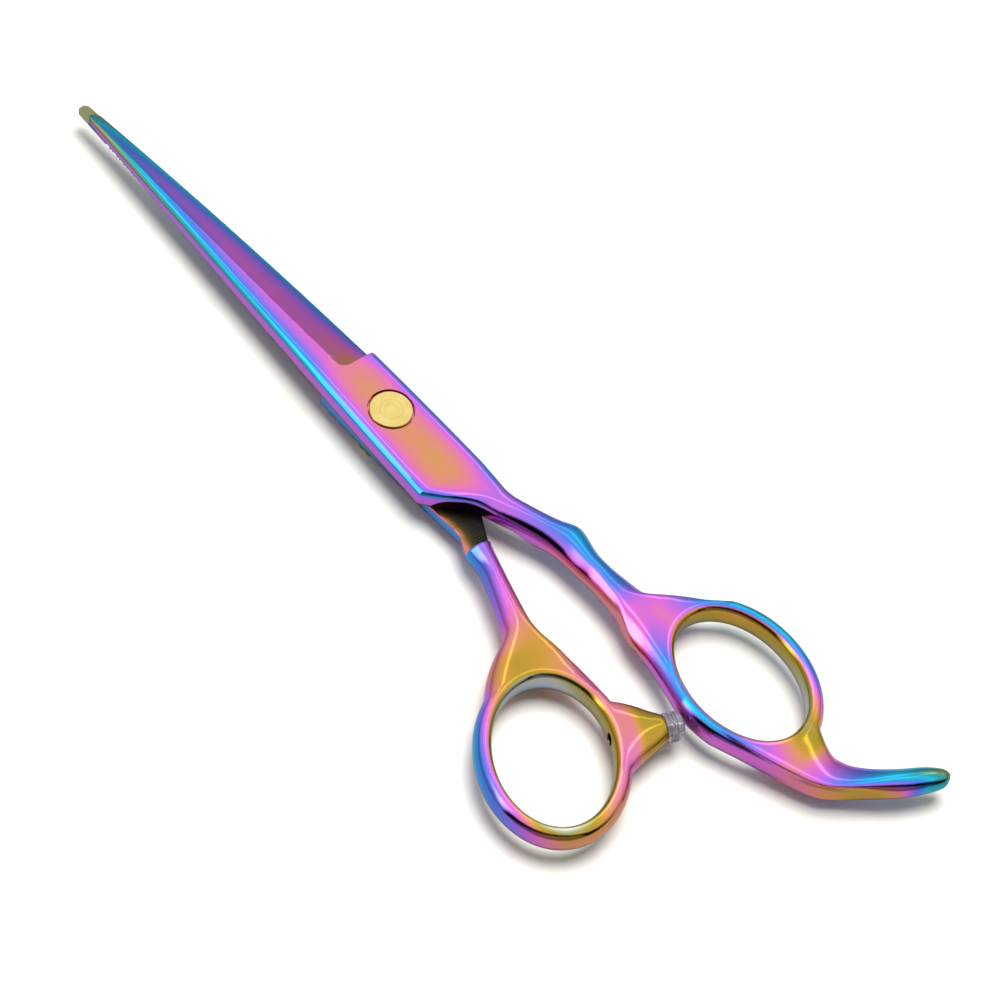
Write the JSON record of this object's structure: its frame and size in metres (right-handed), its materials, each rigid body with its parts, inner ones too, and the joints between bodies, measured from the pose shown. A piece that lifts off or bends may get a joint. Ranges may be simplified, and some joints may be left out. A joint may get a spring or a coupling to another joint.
{
  "type": "thinning shears",
  "caption": "Hairdresser's thinning shears: a plain blade over a toothed comb blade, cranked shanks with finger and thumb rings, a finger rest, a rubber stop and a tension pivot.",
  "frame": {"origin": "on the pivot axis, at the outer face of the tension dial", "axes": "+X from the pivot towards the handles, tips at -X; +Y towards the finger ring; +Z along the pivot axis, out of the face that carries the pivot screw's head"},
  "size_m": [0.1724, 0.0606, 0.008],
  "materials": {
    "coated_steel": "mirror-polished stainless steel with a rainbow titanium coating",
    "brass_plated": "fine-turned, gold-coloured plating",
    "spring_steel": "plain rolled steel",
    "nylon": "natural white nylon",
    "clear_rubber": "clear soft vinyl"
  },
  "bodies": {
    "finger_side": {"finger_half": "coated_steel", "pivot_screw": "brass_plated", "glide_washer": "nylon"},
    "thumb_side": {"thumb_half": "coated_steel", "pivot_bush": "nylon", "spring_washer": "spring_steel", "plain_washer": "spring_steel", "bumper": "clear_rubber", "bumper_stud": "spring_steel"},
    "dial": {"tension_dial": "brass_plated"}
  },
  "joints": [
    {"name": "blade_pivot", "type": "hinge", "parent": "finger_side", "child": "thumb_side", "pos_m": [0, 0, 0], "axis": [0, 0, -1], "range_deg": [0, 60]},
    {"name": "dial_turn", "type": "hinge", "parent": "finger_side", "child": "dial", "pos_m": [0, 0, 0], "axis": [0, 0, 1], "range_deg": [-180, 180]}
  ]
}
